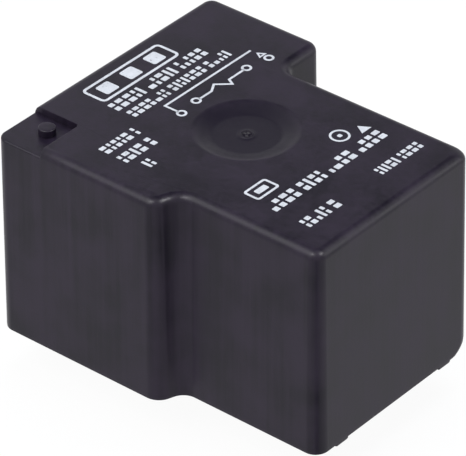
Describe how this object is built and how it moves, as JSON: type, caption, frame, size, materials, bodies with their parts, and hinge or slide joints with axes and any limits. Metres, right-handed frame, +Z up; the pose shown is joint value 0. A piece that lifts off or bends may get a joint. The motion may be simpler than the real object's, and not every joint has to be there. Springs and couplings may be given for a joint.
{
  "type": "pcb power relay",
  "caption": "Sealed T-shaped power relay for a circuit board, with round coil pins, flat contact pins and a working armature inside.",
  "frame": {"origin": "middle of the case's footprint on the board's surface, which the feet of the case stand on", "axes": "+X to the narrow end of the case, +Y to the side with the deep step, +Z up, away from the board"},
  "size_m": [0.032, 0.0274, 0.0234],
  "materials": {
    "case_plastic": "charcoal black glass-filled plastic, satin, faintly grained",
    "base_plastic": "black moulded plastic",
    "seal_resin": "black sealing resin, glossy, slightly uneven",
    "bobbin_plastic": "natural glass-filled plastic",
    "copper_wire": "enamelled copper wire",
    "soft_iron": "nickel plated soft iron",
    "terminal_copper": "tinned copper alloy strip",
    "spring_copper": "spring copper alloy",
    "contact_silver": "silver alloy",
    "plated_steel": "zinc plated steel",
    "tinned_pin": "tinned copper pin, dull silver"
  },
  "bodies": {
    "relay": {"cover": "case_plastic", "base": "base_plastic", "seal": "seal_resin", "bobbin": "bobbin_plastic", "winding": "copper_wire", "core": "soft_iron", "yoke": "soft_iron", "com_terminal": "terminal_copper", "no_terminal": "terminal_copper", "fixed_contact": "contact_silver", "backstop": "plated_steel", "coil_pin_1": "tinned_pin", "coil_pin_2": "tinned_pin", "coil_lead_1": "copper_wire", "coil_lead_2": "copper_wire", "yoke_rivets": "plated_steel", "hinge_leaf": "spring_copper"},
    "armature": {"armature": "soft_iron", "contact_blade": "spring_copper", "moving_contact": "contact_silver", "armature_rivets": "plated_steel"}
  },
  "joints": [
    {"name": "armature_hinge", "type": "hinge", "parent": "relay", "child": "armature", "pos_m": [0.0113, -0.00127, 0.01414], "axis": [0, -1, 0], "range_deg": [0, 3.6], "stiffness_Nm_per_rad": 0.02, "springref_deg": -11.46, "deforming": ["hinge_leaf"]}
  ]
}
